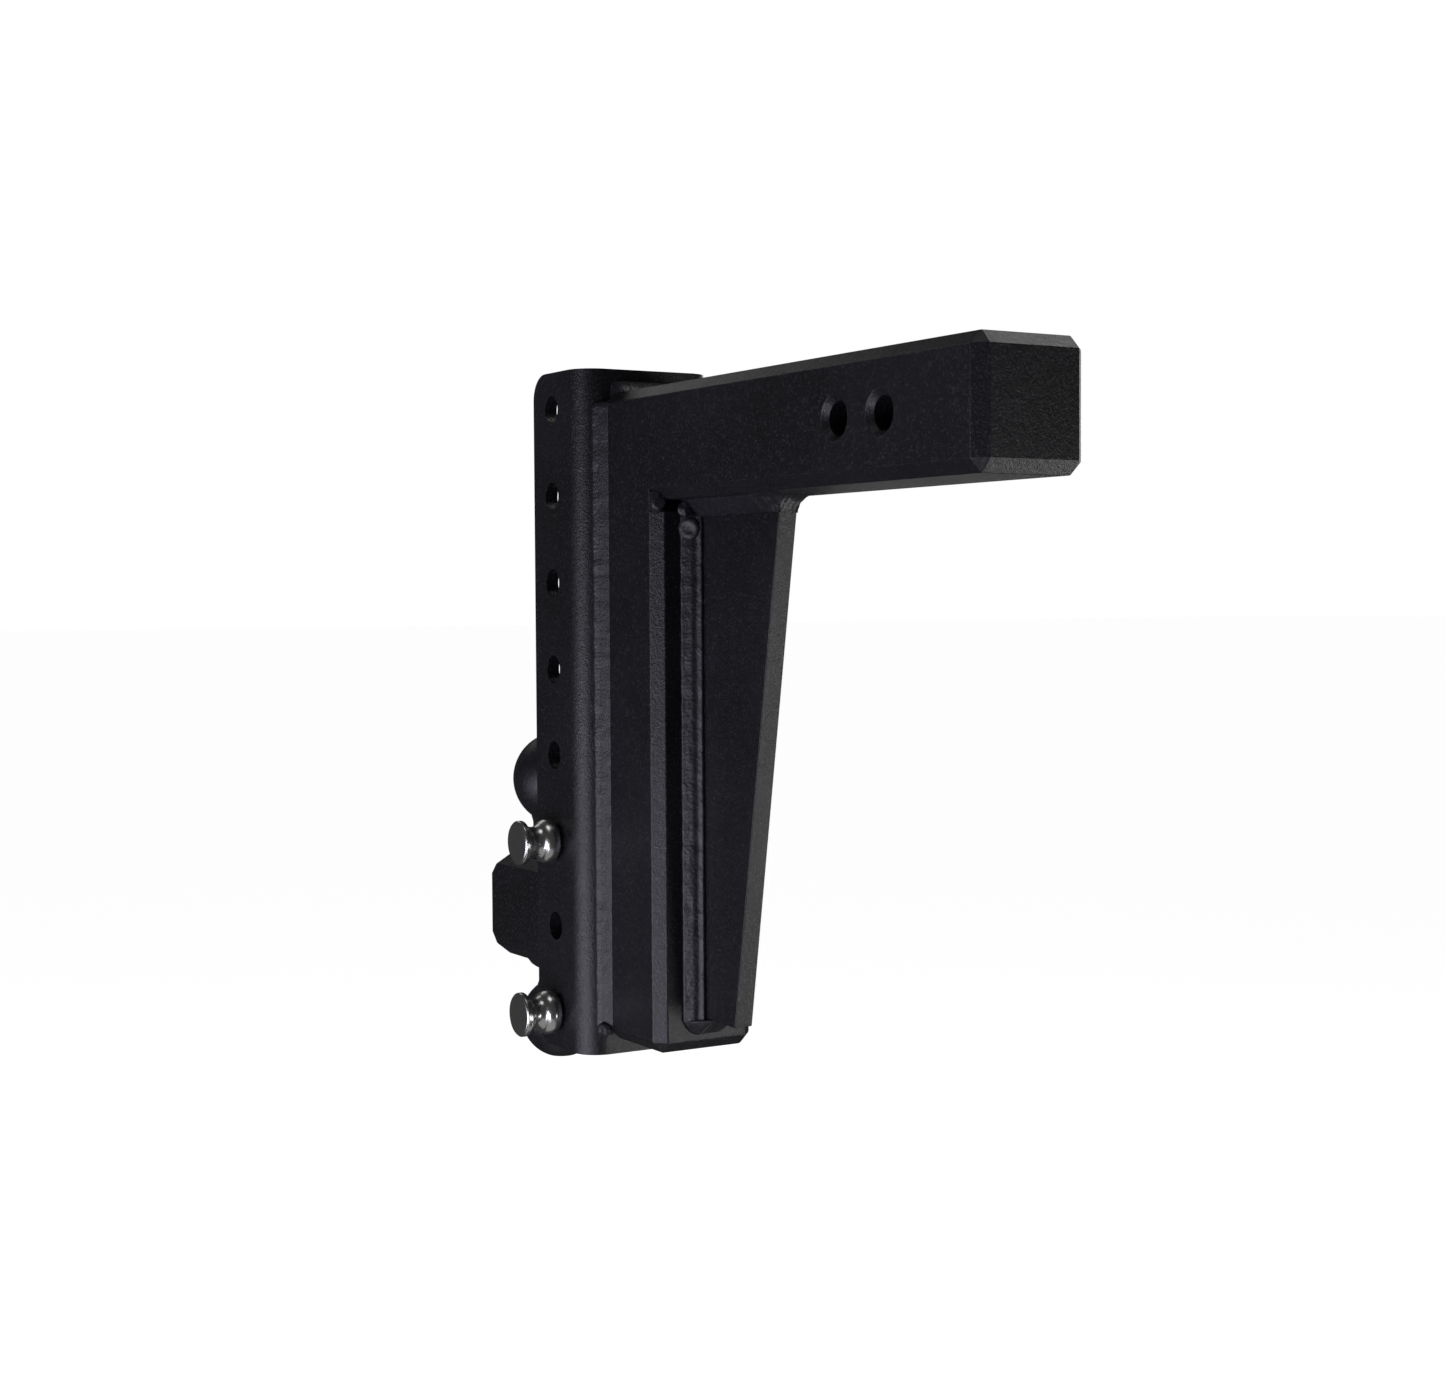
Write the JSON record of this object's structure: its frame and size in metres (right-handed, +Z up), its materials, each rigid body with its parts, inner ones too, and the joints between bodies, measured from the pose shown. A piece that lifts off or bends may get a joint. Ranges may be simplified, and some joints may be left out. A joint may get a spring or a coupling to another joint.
{
  "type": "adjustable trailer hitch with ball mount",
  "caption": "Heavy adjustable drop hitch: square shank, welded channel with a row of pin holes, and a pinned reversible mount with a ball above and a ball below.",
  "frame": {"origin": "centre of the outer hitch-pin hole through the shank, nearest the shank's free end", "axes": "+X along the shank towards the vehicle's receiver, +Y along the hitch pin towards the lock side, +Z up; the pin knobs are on the -Y side"},
  "size_m": [0.5149, 0.1544, 0.4217],
  "materials": {
    "black_powder_coat": "fine-textured satin black powder coat over welded steel",
    "stainless_steel": "turned and polished stainless steel",
    "lock_shell": "satin nickel-chrome plating",
    "key_brass": "machined brass, lightly dulled",
    "latch_steel": "ground hardened steel",
    "black_rubber": "matte moulded rubber"
  },
  "bodies": {
    "root": {"channel": "black_powder_coat", "shank_bar": "black_powder_coat", "drop_bar": "black_powder_coat", "gusset_plate": "black_powder_coat", "weld_channel_near": "black_powder_coat", "weld_channel_far": "black_powder_coat", "weld_channel_top": "black_powder_coat", "weld_seam_near": "black_powder_coat", "weld_seam_far": "black_powder_coat", "weld_gusset_near": "black_powder_coat", "weld_gusset_far": "black_powder_coat", "weld_gusset_top": "black_powder_coat", "weld_gusset_foot": "black_powder_coat", "mount_upright": "black_powder_coat", "ball_block": "black_powder_coat", "weld_block": "black_powder_coat", "towing_ball_large": "black_powder_coat", "towing_ball_small": "black_powder_coat", "weld_ball_large": "black_powder_coat", "weld_ball_small": "black_powder_coat"},
    "upper_pin": {"pull_pin_upper": "stainless_steel"},
    "upper_lock": {"lock_body_upper": "lock_shell", "lock_seal_upper": "black_rubber"},
    "upper_latch": {"latch_bolt_upper": "latch_steel"},
    "upper_key": {"key_cylinder_upper": "key_brass"},
    "upper_cap": {"dust_cap_upper": "black_rubber"},
    "lower_pin": {"pull_pin_lower": "stainless_steel"},
    "lower_lock": {"lock_body_lower": "lock_shell", "lock_seal_lower": "black_rubber"},
    "lower_latch": {"latch_bolt_lower": "latch_steel"},
    "lower_key": {"key_cylinder_lower": "key_brass"},
    "lower_cap": {"dust_cap_lower": "black_rubber"}
  },
  "joints": [
    {"name": "upper_pin_pull", "type": "slide", "parent": "root", "child": "upper_pin", "axis": [0, -1, 0], "range_m": [0, 0.11]},
    {"name": "upper_lock_pull", "type": "slide", "parent": "root", "child": "upper_lock", "axis": [0, 1, 0], "range_m": [0, 0.04]},
    {"name": "upper_key_turn", "type": "hinge", "parent": "upper_lock", "child": "upper_key", "pos_m": [-0.3165, 0.08295, -0.2294], "axis": [0, 1, 0], "range_deg": [0, 90]},
    {"name": "upper_latch_slide", "type": "slide", "parent": "upper_lock", "child": "upper_latch", "axis": [-1, 0, 0], "range_m": [0, 0.0024]},
    {"name": "upper_cap_pull", "type": "slide", "parent": "upper_lock", "child": "upper_cap", "axis": [0, 1, 0], "range_m": [0, 0.02]},
    {"name": "lower_pin_pull", "type": "slide", "parent": "root", "child": "lower_pin", "axis": [0, -1, 0], "range_m": [0, 0.11]},
    {"name": "lower_lock_pull", "type": "slide", "parent": "root", "child": "lower_lock", "axis": [0, 1, 0], "range_m": [0, 0.04]},
    {"name": "lower_key_turn", "type": "hinge", "parent": "lower_lock", "child": "lower_key", "pos_m": [-0.3165, 0.08295, -0.331], "axis": [0, 1, 0], "range_deg": [0, 90]},
    {"name": "lower_latch_slide", "type": "slide", "parent": "lower_lock", "child": "lower_latch", "axis": [-1, 0, 0], "range_m": [0, 0.0024]},
    {"name": "lower_cap_pull", "type": "slide", "parent": "lower_lock", "child": "lower_cap", "axis": [0, 1, 0], "range_m": [0, 0.02]}
  ],
  "couplings": [
    {"joint": "upper_latch_slide", "follows": "upper_key_turn", "m_per_rad": 0.001527},
    {"joint": "lower_latch_slide", "follows": "lower_key_turn", "m_per_rad": 0.001527}
  ]
}
